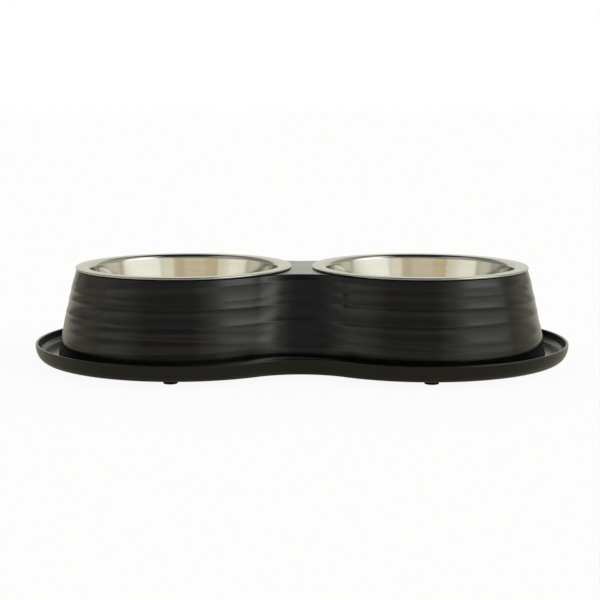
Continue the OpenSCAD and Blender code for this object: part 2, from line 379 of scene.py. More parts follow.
def new_tree(name, kind, inputs, outputs):
    """A node tree with named sockets. Gives the tree, its inputs by name and its results by name."""
    tree = bpy.data.node_groups.new(name, kind)
    for label, socket_type, value in inputs:
        item = tree.interface.new_socket(name=label, in_out="INPUT", socket_type=socket_type)
        if value is not None:
            item.default_value = value
    for label, socket_type in outputs:
        tree.interface.new_socket(name=label, in_out="OUTPUT", socket_type=socket_type)
    entry = tree.nodes.new("NodeGroupInput")
    end = tree.nodes.new("NodeGroupOutput")
    return tree, entry.outputs, end.inputs


def place_group(tree, group, values):
    """Puts a node group into a tree and feeds its inputs by name."""
    kind = "GeometryNodeGroup" if tree.bl_idname == "GeometryNodeTree" else "ShaderNodeGroup"
    node = tree.nodes.new(kind)
    node.node_tree = group
    for label, value in values.items():
        feed(tree, node.inputs[label], value)
    return node.outputs


def finish_tree(tree, shape, finish, end):
    """Real meshes, with their material, at the end of a tree."""
    real = tree.nodes.new("GeometryNodeRealizeInstances")
    feed(tree, real.inputs[0], shape)
    coat = tree.nodes.new("GeometryNodeSetMaterial")
    feed(tree, coat.inputs["Geometry"], real.outputs[0])
    feed(tree, coat.inputs["Material"], finish)
    feed(tree, end, coat.outputs[0])


def ripple_edge_group():
    """How far one ripple swells the wall, from the height of its edge and the place on the wall."""
    tree, given, result = new_tree("One ripple", "GeometryNodeTree", [
        ("Turn", NUMBER, 0.0),
        ("Height", NUMBER, 0.0),
        ("Edge height", NUMBER, 0.0),
        ("Swell", NUMBER, RIPPLE_SWELL * MM),
        ("Fall", NUMBER, RIPPLE_FALL * MM),
        ("Blunt share", NUMBER, RIPPLE_BLUNTS[0]),
        ("Depth share", NUMBER, 1.0),
        ("Fade share", NUMBER, RIPPLE_FADE),
        ("Deepest turn", NUMBER, 0.0),
    ], [("Out", NUMBER)])
    above = result_of(tree, "SUBTRACT", given["Height"], given["Edge height"])
    blunt = result_of(tree, "MULTIPLY", given["Swell"], given["Blunt share"])
    away = result_of(tree, "SUBTRACT", blunt, length_of(tree, above, blunt))
    reach = tree.nodes.new("GeometryNodeSwitch")
    reach.input_type = "FLOAT"
    feed(tree, reach.inputs["Switch"], result_of(tree, "GREATER_THAN", above, 0.0))
    feed(tree, reach.inputs["False"], given["Fall"])
    feed(tree, reach.inputs["True"], given["Swell"])
    swell = result_of(tree, "EXPONENT", result_of(tree, "DIVIDE", away, reach.outputs[0]))
    way_round = result_of(tree, "MULTIPLY", given["Turn"], 2 * math.pi * RIPPLE_BEATS)
    beat = result_of(tree, "SINE", result_of(tree, "SUBTRACT", way_round, given["Deepest turn"]))
    fade = result_of(tree, "MULTIPLY", given["Fade share"], result_of(tree, "ADD", beat, 1.0))
    strength = result_of(tree, "MULTIPLY", given["Depth share"], result_of(tree, "SUBTRACT", 1.0, fade))
    feed(tree, result["Out"], result_of(tree, "MULTIPLY", swell, strength))
    return tree


def read_mark(tree, name, kind):
    """Reads a mark that the wall's points carry."""
    node = tree.nodes.new("GeometryNodeInputNamedAttribute")
    node.data_type = kind
    node.inputs["Name"].default_value = name
    return node.outputs["Attribute"]


def path_curve(tree, turn, path):
    """The height of a ripple or of the undercut as a share of the wall, along the way round.

    The curve runs one step further at both ends, so that it closes smoothly.
    """
    node = tree.nodes.new("ShaderNodeFloatCurve")
    curve = node.mapping.curves[0]
    count = len(path)
    steps = count + 2
    heights = [path[-1]] + path + path[:2]
    curve.points[0].location = (0.0, heights[0])
    curve.points[1].location = (1.0, heights[-1])
    for k in range(1, steps):
        curve.points.new(k / steps, heights[k])
    node.mapping.update()
    feed(tree, node.inputs["Value"], result_of(tree, "MULTIPLY_ADD", turn, count / steps, 1 / steps))
    return node.outputs["Value"]


def undercut(tree, given, turn, height):
    """How far the wall draws in under its lowest ripple, most of all at the waist."""
    middle = result_of(tree, "MULTIPLY", path_curve(tree, turn, UNDERCUT_PATH), given["Wall height"])
    half_h = result_of(tree, "MULTIPLY", given["Undercut height"], 0.5)
    drawn_in = bell(tree, result_of(tree, "DIVIDE", result_of(tree, "SUBTRACT", height, middle), half_h))
    place = parts_of(tree, tree.nodes.new("GeometryNodeInputPosition").outputs[0])
    at_waist = bell(tree, result_of(tree, "DIVIDE", place["X"], given["Undercut reach"]))
    share = between(tree, at_waist, 0.0, 1.0, given["Undercut lobe share"], 1.0)
    return result_of(tree, "MULTIPLY", result_of(tree, "MULTIPLY", drawn_in, share), given["Undercut depth"])


def rippled_wall_tree():
    """Swells the marked wall along its ripples and draws it in at its undercut."""
    tree, given, result = new_tree("Rippled wall", "GeometryNodeTree", [
        ("Geometry", SHAPE, None),
        ("Wall height", NUMBER, STAND_H * MM),
        ("Shoulder", NUMBER, SHOULDER_R * MM),
        ("Depth", NUMBER, RIPPLE_DEPTH * MM),
        ("Swell", NUMBER, RIPPLE_SWELL * MM),
        ("Fall", NUMBER, RIPPLE_FALL * MM),
        ("Fade share", NUMBER, RIPPLE_FADE),
        ("Undercut depth", NUMBER, UNDERCUT_DEPTH * MM),
        ("Undercut height", NUMBER, UNDERCUT_H * MM),
        ("Undercut reach", NUMBER, UNDERCUT_REACH * MM),
        ("Undercut lobe share", NUMBER, UNDERCUT_LOBE_SHARE),
        ("Finish", FINISH, None),
    ], [("Geometry", SHAPE)])
    turn = read_mark(tree, "turn", "FLOAT")
    height = read_mark(tree, "height", "FLOAT")
    wall = read_mark(tree, "wall", "FLOAT")
    outward = read_mark(tree, "outward", "FLOAT_VECTOR")
    one_ripple = ripple_edge_group()
    total = None
    for i, path in enumerate(RIPPLE_PATHS):
        out = place_group(tree, one_ripple, {
            "Turn": turn,
            "Height": height,
            "Edge height": result_of(tree, "MULTIPLY", path_curve(tree, turn, path), given["Wall height"]),
            "Swell": given["Swell"],
            "Fall": given["Fall"],
            "Blunt share": RIPPLE_BLUNTS[i],
            "Depth share": RIPPLE_DEPTHS[i],
            "Fade share": given["Fade share"],
            "Deepest turn": math.radians(RIPPLE_TURN * i),
        })["Out"]
        total = out if total is None else result_of(tree, "ADD", total, out)
    wall_top = result_of(tree, "SUBTRACT", given["Wall height"], given["Shoulder"])
    to_end = result_of(tree, "MINIMUM", result_of(tree, "SUBTRACT", wall_top, height), height)
    ends = result_of(tree, "DIVIDE", to_end, given["Swell"])
    fade = result_of(tree, "MINIMUM", result_of(tree, "MAXIMUM", ends, 0.0), 1.0)
    rippled = result_of(tree, "MULTIPLY", total, given["Depth"])
    swollen = result_of(tree, "SUBTRACT", rippled, undercut(tree, given, turn, height))
    amount = result_of(tree, "MULTIPLY", swollen, result_of(tree, "MULTIPLY", fade, wall))
    scale = tree.nodes.new("ShaderNodeVectorMath")
    scale.operation = "SCALE"
    feed(tree, scale.inputs[0], outward)
    feed(tree, scale.inputs["Scale"], amount)
    move = tree.nodes.new("GeometryNodeSetPosition")
    feed(tree, move.inputs["Geometry"], given["Geometry"])
    feed(tree, move.inputs["Offset"], scale.outputs[0])
    finish_tree(tree, move.outputs[0], given["Finish"], result["Geometry"])
    return tree


def four_corners_tree():
    """Puts a small part at each of the four corners, each with a turn of its own."""
    tree, given, result = new_tree("At the four corners", "GeometryNodeTree", [
        ("Geometry", SHAPE, None),
        ("Small part", OBJECT, None),
        ("Length between", NUMBER, 2 * FOOT_X * MM),
        ("Width between", NUMBER, 2 * FOOT_Y * MM),
        ("Most turn", NUMBER, 0.0),
        ("Seed", WHOLE_NUMBER, 5),
        ("Finish", FINISH, None),
    ], [("Geometry", SHAPE)])
    corners = tree.nodes.new("GeometryNodeMeshGrid")
    feed(tree, corners.inputs["Size X"], given["Length between"])
    feed(tree, corners.inputs["Size Y"], given["Width between"])
    corners.inputs["Vertices X"].default_value = 2
    corners.inputs["Vertices Y"].default_value = 2
    part = tree.nodes.new("GeometryNodeObjectInfo")
    feed(tree, part.inputs["Object"], given["Small part"])
    chance = tree.nodes.new("FunctionNodeRandomValue")
    chance.data_type = "FLOAT"
    feed(tree, chance.inputs[RANDOM_MOST], given["Most turn"])
    feed(tree, chance.inputs["Seed"], given["Seed"])
    turn = tree.nodes.new("ShaderNodeCombineXYZ")
    feed(tree, turn.inputs["Z"], chance.outputs[RANDOM_RESULT])
    place = tree.nodes.new("GeometryNodeInstanceOnPoints")
    feed(tree, place.inputs["Points"], corners.outputs["Mesh"])
    feed(tree, place.inputs["Instance"], part.outputs["Geometry"])
    feed(tree, place.inputs["Rotation"], turn.outputs[0])
    finish_tree(tree, place.outputs[0], given["Finish"], result["Geometry"])
    return tree


def as_shown(holder):
    """The plain mesh of an object with its modifiers applied."""
    bpy.context.view_layer.update()
    return bpy.data.meshes.new_from_object(holder.evaluated_get(bpy.context.evaluated_depsgraph_get()))


def grow(base, tree, values, name):
    """Runs a node tree on a mesh and keeps the result as a plain piece of its own."""
    modifier = base.modifiers.new(tree.name, "NODES")
    modifier.node_group = tree
    for item in tree.interface.items_tree:
        if item.in_out == "INPUT" and item.name in values:
            modifier[item.identifier] = values[item.name]
    mesh = as_shown(base)
    mesh.name = name
    bpy.data.objects.remove(base)
    return placed(name, mesh)


# Finishes

# Colours, and the roughness from the smoothest to the roughest places
STAND_DEEP = (0.0032, 0.0036, 0.0046, 1.0)
STAND_PALE = (0.0050, 0.0055, 0.0068, 1.0)
STAND_ROUGHNESS = (0.18, 0.24)
# The tray is the same black plastic as the stand. Its paler, warmer tone is a painted reflection of the warm
# floor
TRAY_DEEP_WITH_PAINTED_WARMTH = (0.0058, 0.0055, 0.0048, 1.0)
TRAY_PALE_WITH_PAINTED_WARMTH = (0.0078, 0.0073, 0.0064, 1.0)
TRAY_ROUGHNESS = (0.19, 0.26)
PLASTIC_DUST = (0.09, 0.088, 0.082, 1.0)
PLASTIC_DUST_SHARE = 0.12
PLASTIC_IOR = 1.48
STEEL_DEEP = (0.61, 0.605, 0.575, 1.0)
STEEL_PALE = (0.65, 0.645, 0.615, 1.0)
STEEL_GRAZING = (0.76, 0.755, 0.72, 1.0)
STEEL_ROUGHNESS = (0.06, 0.12)
RUBBER_DEEP = (0.010, 0.010, 0.010, 1.0)
RUBBER_PALE = (0.018, 0.018, 0.017, 1.0)
RUBBER_DUST = (0.12, 0.115, 0.105, 1.0)
RUBBER_DUST_SHARE = 0.3
RUBBER_ROUGHNESS = (0.62, 0.82)
ZINC_DEEP = (0.52, 0.53, 0.55, 1.0)
ZINC_PALE = (0.62, 0.61, 0.58, 1.0)
ZINC_RUBBED = (0.32, 0.31, 0.30, 1.0)
ZINC_RUB_SHARE = 0.3
ZINC_ROUGHNESS = (0.28, 0.42)
RUB_ROUGHNESS = 0.05

# Depths of the relief, in metres
PLASTIC_GRAIN = 0.000004
STAND_LINES = 0.00002
TRAY_LINES = 0.000008
STEEL_RINGS = 0.0000015
STEEL_BROAD_RINGS = 0.00001
RUBBER_GRAIN = 0.00002
ZINC_GRAIN = 0.000006

# Limits that most of a noise lies between, and those above which rub marks and dust show
MOST_NOISE = (0.3, 0.7)
RUB_NOISE = (0.52, 0.72)
DUST_NOISE = (0.76, 0.84)
# How much closer together a noise is across drawn lines, or across rub marks, than along them
LINE_STRETCH = (14.0, 14.0, 900.0)
RUB_STRETCH = (1.0, 6.0, 3.0)
BROAD_RING_SCALE = 160.0


def noise(tree, place, scale, detail, roughness=0.5):
    node = tree.nodes.new("ShaderNodeTexNoise")
    feed(tree, node.inputs["Vector"], place)
    feed(tree, node.inputs["Scale"], scale)
    node.inputs["Detail"].default_value = detail
    node.inputs["Roughness"].default_value = roughness
    return node.outputs["Fac"]


def stretched(tree, place, scale):
    node = tree.nodes.new("ShaderNodeMapping")
    feed(tree, node.inputs["Vector"], place)
    node.inputs["Scale"].default_value = scale
    return node.outputs[0]


def moulded_skin_group():
    """The fine skin that a mould leaves on plastic and rubber, with faint flow marks."""
    tree, given, result = new_tree("Moulded skin", "ShaderNodeTree", [
        ("Place", VECTOR, None),
        ("Grain scale", NUMBER, 2600.0),
        ("Flow scale", NUMBER, 40.0),
    ], [("Grain", NUMBER), ("Flow", NUMBER)])
    feed(tree, result["Grain"], noise(tree, given["Place"], given["Grain scale"], detail=2.0))
    feed(tree, result["Flow"], noise(tree, given["Place"], given["Flow scale"], detail=3.0))
    return tree


def drawn_lines_group():
    """Long level lines round a wall, as a scraper leaves them."""
    tree, given, result = new_tree("Drawn lines", "ShaderNodeTree", [
        ("Place", VECTOR, None),
        ("Line scale", NUMBER, 1.0),
    ], [("Lines", NUMBER)])
    long_way = stretched(tree, given["Place"], LINE_STRETCH)
    feed(tree, result["Lines"], noise(tree, long_way, given["Line scale"], detail=3.0, roughness=0.6))
    return tree


def handling_group():
    """Faint rub marks and dust from handling."""
    tree, given, result = new_tree("Handling marks", "ShaderNodeTree", [
        ("Place", VECTOR, None),
        ("Rub scale", NUMBER, 60.0),
        ("Dust scale", NUMBER, 1500.0),
    ], [("Rubs", NUMBER), ("Dust", NUMBER)])
    slant = stretched(tree, given["Place"], RUB_STRETCH)
    rub = noise(tree, slant, given["Rub scale"], detail=5.0, roughness=0.65)
    speck = noise(tree, given["Place"], given["Dust scale"], detail=1.0)
    feed(tree, result["Rubs"], between(tree, rub, *RUB_NOISE, 0.0, 1.0))
    feed(tree, result["Dust"], between(tree, speck, *DUST_NOISE, 0.0, 1.0))
    return tree


def spun_rings_group():
    """Fine rings round each bowl's own axis, left by spinning and polishing."""
    tree, given, result = new_tree("Spun rings", "ShaderNodeTree", [
        ("Place", VECTOR, None),
        ("Half spacing", NUMBER, HALF_SPACING * MM),
        ("Ring scale", NUMBER, 1500.0),
    ], [("Rings", NUMBER), ("Broad rings", NUMBER)])
    parts = parts_of(tree, given["Place"])
    across = result_of(tree, "SUBTRACT", result_of(tree, "ABSOLUTE", parts["X"]), given["Half spacing"])
    section = tree.nodes.new("ShaderNodeCombineXYZ")
    feed(tree, section.inputs["X"], length_of(tree, across, parts["Y"]))
    feed(tree, section.inputs["Z"], parts["Z"])
    feed(tree, result["Rings"], noise(tree, section.outputs[0], given["Ring scale"], detail=2.0))
    feed(tree, result["Broad rings"], noise(tree, section.outputs[0], BROAD_RING_SCALE, detail=2.0))
    return tree


GROUPS = {}


def shared(tree, maker, place, values):
    """Places a shared effect, which is built only once."""
    if maker not in GROUPS:
        GROUPS[maker] = maker()
    return place_group(tree, GROUPS[maker], {"Place": place, **values})


def new_finish(name):
    """An empty material: its node tree, its surface shader and the object's own coordinates."""
    material = bpy.data.materials.new(name)
    material.use_nodes = True
    tree = material.node_tree
    surface = tree.nodes["Principled BSDF"]
    place = tree.nodes.new("ShaderNodeTexCoord").outputs["Object"]
    return material, tree, surface.inputs, place


def relief(tree, surface, layers):
    """Stacks bumps onto a surface, each as (height, depth in metres)."""
    normal = None
    for height, depth in layers:
        bump = tree.nodes.new("ShaderNodeBump")
        bump.inputs["Strength"].default_value = 1.0
        bump.inputs["Distance"].default_value = depth
        feed(tree, bump.inputs["Height"], height)
        if normal is not None:
            feed(tree, bump.inputs["Normal"], normal)
        normal = bump.outputs[0]
    feed(tree, surface["Normal"], normal)


def marked(tree, mark, share, plain, worn):
    """A colour that goes some way to another where a mark shows."""
    return mixed(tree, result_of(tree, "MULTIPLY", mark, share), plain, worn)


def rubbed(tree, roughness, marks):
    """A roughness that is a little higher where the surface is rubbed."""
    return result_of(tree, "ADD", roughness, result_of(tree, "MULTIPLY", marks["Rubs"], RUB_ROUGHNESS))


def black_plastic(name, deep, pale, roughness, line_depth):
    """Black moulded plastic with a soft gloss."""
    material, tree, surface, place = new_finish(name)
    skin = shared(tree, moulded_skin_group, place, {"Grain scale": 2400.0, "Flow scale": 30.0})
    lines = shared(tree, drawn_lines_group, place, {"Line scale": 1.0})
    marks = shared(tree, handling_group, place, {"Rub scale": 55.0, "Dust scale": 1300.0})
    tone = mixed(tree, skin["Flow"], deep, pale)
    feed(tree, surface["Base Color"], marked(tree, marks["Dust"], PLASTIC_DUST_SHARE, tone, PLASTIC_DUST))
    flow = between(tree, skin["Flow"], *MOST_NOISE, *roughness)
    feed(tree, surface["Roughness"], rubbed(tree, flow, marks))
    surface["IOR"].default_value = PLASTIC_IOR
    relief(tree, surface, [(skin["Grain"], PLASTIC_GRAIN), (lines["Lines"], line_depth)])
    return material


def polished_steel():
    """Mirror-polished stainless steel with fine spun rings."""
    material, tree, surface, place = new_finish("Polished steel")
    rings = shared(tree, spun_rings_group, place, {"Half spacing": HALF_SPACING * MM, "Ring scale": 1400.0})
    marks = shared(tree, handling_group, place, {"Rub scale": 90.0, "Dust scale": 1500.0})
    feed(tree, surface["Base Color"], mixed(tree, rings["Broad rings"], STEEL_DEEP, STEEL_PALE))
    surface["Metallic"].default_value = 1.0
    surface["Specular Tint"].default_value = STEEL_GRAZING
    haze = between(tree, rings["Rings"], *MOST_NOISE, *STEEL_ROUGHNESS)
    feed(tree, surface["Roughness"], rubbed(tree, haze, marks))
    relief(tree, surface, [(rings["Rings"], STEEL_RINGS), (rings["Broad rings"], STEEL_BROAD_RINGS)])
    return material


def foot_rubber():
    """Matte black rubber."""
    material, tree, surface, place = new_finish("Foot rubber")
    skin = shared(tree, moulded_skin_group, place, {"Grain scale": 1600.0, "Flow scale": 120.0})
    marks = shared(tree, handling_group, place, {"Rub scale": 200.0, "Dust scale": 1800.0})
    tone = mixed(tree, skin["Flow"], RUBBER_DEEP, RUBBER_PALE)
    feed(tree, surface["Base Color"], marked(tree, marks["Dust"], RUBBER_DUST_SHARE, tone, RUBBER_DUST))
    feed(tree, surface["Roughness"], between(tree, skin["Grain"], *MOST_NOISE, *RUBBER_ROUGHNESS))
    relief(tree, surface, [(skin["Grain"], RUBBER_GRAIN)])
    return material


def zinc_plate():
    """Zinc-plated steel of the screws."""
    material, tree, surface, place = new_finish("Zinc plate")
    skin = shared(tree, moulded_skin_group, place, {"Grain scale": 3000.0, "Flow scale": 260.0})
    marks = shared(tree, handling_group, place, {"Rub scale": 400.0, "Dust scale": 2500.0})
    tone = mixed(tree, skin["Flow"], ZINC_DEEP, ZINC_PALE)
    feed(tree, surface["Base Color"], marked(tree, marks["Rubs"], ZINC_RUB_SHARE, tone, ZINC_RUBBED))
    surface["Metallic"].default_value = 1.0
    feed(tree, surface["Roughness"], between(tree, skin["Grain"], *MOST_NOISE, *ZINC_ROUGHNESS))
    relief(tree, surface, [(skin["Grain"], ZINC_GRAIN)])
    return material


# Pieces

def stand_piece():
    """The stand: rippled wall, shoulder, plate with two collared openings, and its hollow inside."""
    skin = Skin()
    wall_h = STAND_H - SHOULDER_R
    marks = {}

    def wall_ring(height, z, inset, is_wall):
        places = stand_outline(height, inset)
        ring = skin.ring([(x, y, FLOOR_Z + z) for x, y, _, _ in places])
        for k, index in enumerate(ring):
            marks[index] = (k / len(ring), z * MM, is_wall, (places[k][2], places[k][3], 0.0))
        return ring

    rings = []
    for k in range(BASE_EDGE_STEPS):
        a = math.pi / 2 * k / BASE_EDGE_STEPS
        rings.append(wall_ring(0, SOFT_EDGE * (1 - math.cos(a)), SOFT_EDGE * (1 - math.sin(a)), 0.0))
    for k in range(WALL_RINGS + 1):
        z = SOFT_EDGE + (wall_h - SOFT_EDGE) * k / WALL_RINGS
        rings.append(wall_ring(z, z, 0, 1.0))
    for k in range(1, SHOULDER_STEPS + 1):
        a = math.pi / 2 * k / SHOULDER_STEPS
        z = wall_h + SHOULDER_R * math.sin(a)
        rings.append(wall_ring(z, z, SHOULDER_R * (1 - math.cos(a)), 0.0))
    skin.bands(rings)

    top = FLOOR_Z + STAND_H
    bottom = top - COLLAR_H
    collar = (arc(OPENING_R + SOFT_EDGE, top - SOFT_EDGE, SOFT_EDGE, 90, 180, COLLAR_TOP_STEPS)
              + arc(OPENING_R + SOFT_EDGE, bottom + SOFT_EDGE, SOFT_EDGE, 180, 270, EDGE_STEPS)
              + arc(OPENING_R + COLLAR_T - SOFT_EDGE, bottom + SOFT_EDGE, SOFT_EDGE, 270, 360, EDGE_STEPS)
              + [(OPENING_R + COLLAR_T, top - PLATE_T)])
    collars = [skin.turned(side * HALF_SPACING, 0, collar, OPENING_STEPS) for side in SIDES]
    skin.flat(rings[-1], [loops[0] for loops in collars], True)

    heights = [(STAND_H - PLATE_T) * (1 - k / HOLLOW_RINGS) for k in range(HOLLOW_RINGS + 1)]
    inside = [wall_ring(height, height, WALL_T, 0.0) for height in heights]
    skin.flat(inside[0], [loops[-1] for loops in collars], False)
    skin.bands(inside)
    skin.band(inside[-1], rings[0])

    for side, end in CORNERS:
        stand_boss(skin, side * FOOT_X, end * FOOT_Y, end)

    made = skin.piece("rippled_stand")
    count = len(skin.points)
    still = (0.0, 0.0, 0.0, (0.0, 0.0, 0.0))
    for number, label in enumerate(("turn", "height", "wall")):
        mark = made.data.attributes.new(label, "FLOAT", "POINT")
        mark.data.foreach_set("value", [marks.get(i, still)[number] for i in range(count)])
    mark = made.data.attributes.new("outward", "FLOAT_VECTOR", "POINT")
    mark.data.foreach_set("vector", [v for i in range(count) for v in marks.get(i, still)[3]])
    return made


def stand_boss(skin, x, y, end):
    """A screw boss inside the stand, tied to the front or back wall by a rib."""
    low = FLOOR_Z + PAD_H
    high = low + BOSS_H
    fine_edge = SOFT_EDGE / 2
    section = (arc(CORE_R + fine_edge, low + fine_edge, fine_edge, 180, 270, FINE_EDGE_STEPS)
               + arc(BOSS_R - SOFT_EDGE, low + SOFT_EDGE, SOFT_EDGE, 270, 360, EDGE_STEPS)
               + arc(BOSS_R - SOFT_EDGE, high - SOFT_EDGE, SOFT_EDGE, 0, 90, EDGE_STEPS))
    rings = skin.turned(x, y, section, SMALL_STEPS)
    skin.cap(rings[-1], x, y, high, True)
    blind = skin.ring(circle(x, y, CORE_R, high - BOSS_END_T, SMALL_STEPS))
    skin.band(blind, rings[0])
    skin.cap(blind, x, y, high - BOSS_END_T, False)
    half = RIB_T / 2
    reach_low = FOOT_INSET - WALL_T / 2 - FLARE * PAD_H / STAND_H
    reach_high = reach_low - FLARE * BOSS_H / STAND_H
    start = BOSS_R / 2
    rib = []
    for z, reach in ((low, reach_low), (high, reach_high)):
        loop = [(-half, start), (half, start), (half, reach), (-half, reach)]
        rib.append(skin.ring([(x + end * a, y + end * b, z) for a, b in loop]))
    first_flat = len(skin.faces)
    skin.bands(rib)
    skin.lids(*rib)
    skin.flat_faces.extend(range(first_flat, len(skin.faces)))


def tray_piece():
    """The spill tray: one moulding with a raised rim, pads inside and wells for screws and feet below."""
    skin = Skin()
    quarter = arc(0, 0, 1, 270, 180, TRAY_CORNER_STEPS)
    edge = ([(TRAY_CORNER_W * (1 + a), TRAY_CORNER_H * (1 + b)) for a, b in quarter]
            + arc(LIP_EDGE_R, TRAY_H - LIP_EDGE_R, LIP_EDGE_R, 180, 90, LIP_STEPS)
            + arc(LIP_T - LIP_EDGE_R, TRAY_H - LIP_EDGE_R, LIP_EDGE_R, 90, 0, LIP_STEPS)
            + arc(LIP_T + COVE_R, TRAY_FLOOR_T + COVE_R, COVE_R, 180, 270, COVE_STEPS))
    rings = []
    for inset, height in edge:
        places = outline(TRAY_LOBE_R - inset, TRAY_WAIST - inset)
        rings.append(skin.ring([(x, y, TRAY_Z + height) for x, y, _, _ in places]))
    skin.bands(rings)
    pad_top = TRAY_Z + TRAY_FLOOR_T + PAD_H
    well_top = TRAY_Z + WELL_H
    well_edge = arc(WELL_R + SOFT_EDGE, TRAY_Z + SOFT_EDGE, SOFT_EDGE, 180, 270, EDGE_STEPS)
    section = ([(PAD_R, FLOOR_Z)]
               + arc(PAD_R - SOFT_EDGE, pad_top - SOFT_EDGE, SOFT_EDGE, 0, 90, EDGE_STEPS)
               + [(SCREW_HOLE_R, pad_top), (SCREW_HOLE_R, well_top), (WELL_R, well_top)]
               + [(WELL_R, TRAY_Z + SOFT_EDGE)]
               + well_edge[1:])
    pads = [skin.turned(side * FOOT_X, end * FOOT_Y, section, SMALL_STEPS) for side, end in CORNERS]
    skin.flat(rings[-1], [pad[0] for pad in pads], True)
    skin.flat(rings[0], [pad[-1] for pad in pads], False)
    return skin.piece("spill_tray")


def bowl_section():
    """Two halves of a bowl's section below its rim's top: over the rim and down inside, and back outside."""
    lean = BOWL_LEAN
    tilt = math.radians(lean)
    mouth_top = RIM_R - RIM_W
    floor = -(BOWL_DEPTH - STEEL_T)
    hook = math.degrees(math.asin((BEAD_R - STEEL_T) / BEAD_R))
    corner_z = floor + BOWL_CORNER_R
    end_r = mouth_top - MOUTH_R * math.cos(tilt)
    end_z = MOUTH_R * (math.sin(tilt) - 1)
    wall_l = (end_z - corner_z + BOWL_CORNER_R * math.sin(tilt)) / math.cos(tilt)
    corner_r = end_r - wall_l * math.sin(tilt) - BOWL_CORNER_R * math.cos(tilt)
    inner = (arc(RIM_R - BEAD_R, -BEAD_R, BEAD_R, hook - 180, 90, BEAD_STEPS)
             + arc(mouth_top, -MOUTH_R, MOUTH_R, 90, 180 - lean, MOUTH_STEPS)
             + arc(corner_r, corner_z, BOWL_CORNER_R, -lean, -90, BOWL_CORNER_STEPS)
             + [(corner_r * share, floor) for share in BOWL_FLOOR_SHARES])
    outer = ([(corner_r * share, floor - STEEL_T) for share in reversed(BOWL_FLOOR_SHARES)]
             + arc(corner_r, corner_z, BOWL_CORNER_R + STEEL_T, -90, -lean, BOWL_CORNER_STEPS)
             + arc(mouth_top, -MOUTH_R, MOUTH_R - STEEL_T, 180 - lean, 90, MOUTH_STEPS))
    return inner, outer


def bowl_piece(side, name):
    """A spun steel bowl with a flat rim and a rolled edge."""
    skin = Skin()
    inner, outer = bowl_section()
    x = side * HALF_SPACING
    above = skin.turned(x, 0, [(r, RIM_Z + z) for r, z in inner], BOWL_STEPS)
    skin.cap(above[-1], x, 0, RIM_Z - BOWL_DEPTH + STEEL_T, True)
    below = skin.turned(x, 0, [(r, RIM_Z + z) for r, z in outer], BOWL_STEPS)
    skin.cap(below[0], x, 0, RIM_Z - BOWL_DEPTH, False)
    skin.band(below[-1], above[0])
    return skin.piece(name)


def foot_shape():
    """One rubber foot, standing on the ground at the origin, with its spigot on top."""
    skin = Skin()
    top_edge = FOOT_TOP_EDGE_R
    spigot_top = FOOT_H + SPIGOT_H
    section = (arc(FOOT_R - FOOT_EDGE_R, FOOT_EDGE_R, FOOT_EDGE_R, 270, 360, FOOT_EDGE_STEPS)
               + arc(FOOT_R - top_edge, FOOT_H - top_edge, top_edge, 0, 90, EDGE_STEPS)
               + [(SPIGOT_R, FOOT_H)]
               + arc(SPIGOT_R - top_edge, spigot_top - top_edge, top_edge, 0, 90, EDGE_STEPS))
    rings = skin.turned(0, 0, section, FOOT_STEPS)
    skin.cap(rings[0], 0, 0, 0, False)
    skin.cap(rings[-1], 0, 0, spigot_top, True)
    return skin.piece("foot_shape")


def screw_head():
    """A screw's round head, head down, with a cross recess cut into it."""
    skin = Skin()
    low = HEAD_Z - HEAD_H
    section = (arc(HEAD_R - HEAD_ROUND_R, low + HEAD_ROUND_R, HEAD_ROUND_R, 270, 360, HEAD_ROUND_STEPS)
               + arc(HEAD_R - HEAD_EDGE_R, HEAD_Z - HEAD_EDGE_R, HEAD_EDGE_R, 0, 90, FINE_EDGE_STEPS))
    rings = skin.turned(0, 0, section, SMALL_STEPS)
    skin.cap(rings[0], 0, 0, low, False)
    skin.cap(rings[-1], 0, 0, HEAD_Z, True)
    head = skin.piece("screw_head")
    for long_x, long_y in ((RECESS_L, RECESS_W), (RECESS_W, RECESS_L)):
        slot = Skin()
        loops = []
        for z, spread in ((low - CUT_OVER, 1.0), (low + RECESS_H, RECESS_TAPER)):
            a = long_x / 2 * spread
            b = long_y / 2 * spread
            loops.append(slot.ring([(-a, -b, z), (a, -b, z), (a, b, z), (-a, b, z)]))
        slot.bands(loops)
        slot.lids(*loops)
        cutter = slot.piece("recess_cutter")
        cut = head.modifiers.new("Recess", "BOOLEAN")
        cut.operation = "DIFFERENCE"
        cut.solver = "EXACT"
        cut.object = cutter
        mesh = as_shown(head)
        head.modifiers.clear()
        head.data = mesh
        bpy.data.objects.remove(cutter)
    return head


def shank_radius(z, turn):
    """The shank's radius at a height and a share of a turn, with its rolled thread and its point."""
    taper = min(1.0, (HEAD_Z + SCREW_L - z) / POINT_L)
    phase = ((z - HEAD_Z) / THREAD_PITCH - turn) % 1.0
    crest = max(0.0, 1 - abs(phase - 0.5) / CREST_SHARE)
    grip = min(1.0, max(0.0, (z - HEAD_Z - NECK_L) / THREAD_PITCH))
    return (CORE_R + (THREAD_R - CORE_R) * crest * grip) * taper


def screw_shape():
    """One self-tapping screw at the origin, head down."""
    head = screw_head()
    skin = Skin()
    start = HEAD_Z - SHANK_IN_HEAD
    loops = []
    for k in range(THREAD_RINGS + 1):
        z = start + (SCREW_L + SHANK_IN_HEAD - LAST_RING_CUT) * k / THREAD_RINGS
        loop = []
        for i in range(THREAD_STEPS):
            a = 2 * math.pi * i / THREAD_STEPS
            r = shank_radius(z, i / THREAD_STEPS)
            loop.append((r * math.cos(a), r * math.sin(a), z))
        loops.append(skin.ring(loop))
    skin.bands(loops)
    skin.cap(loops[0], 0, 0, start, False)
    skin.cap(loops[-1], 0, 0, HEAD_Z + SCREW_L - POINT_CUT, True)
    shank = skin.piece("screw_shank")
    with bpy.context.temp_override(active_object=head, selected_editable_objects=[head, shank]):
        bpy.ops.object.join()
    return head


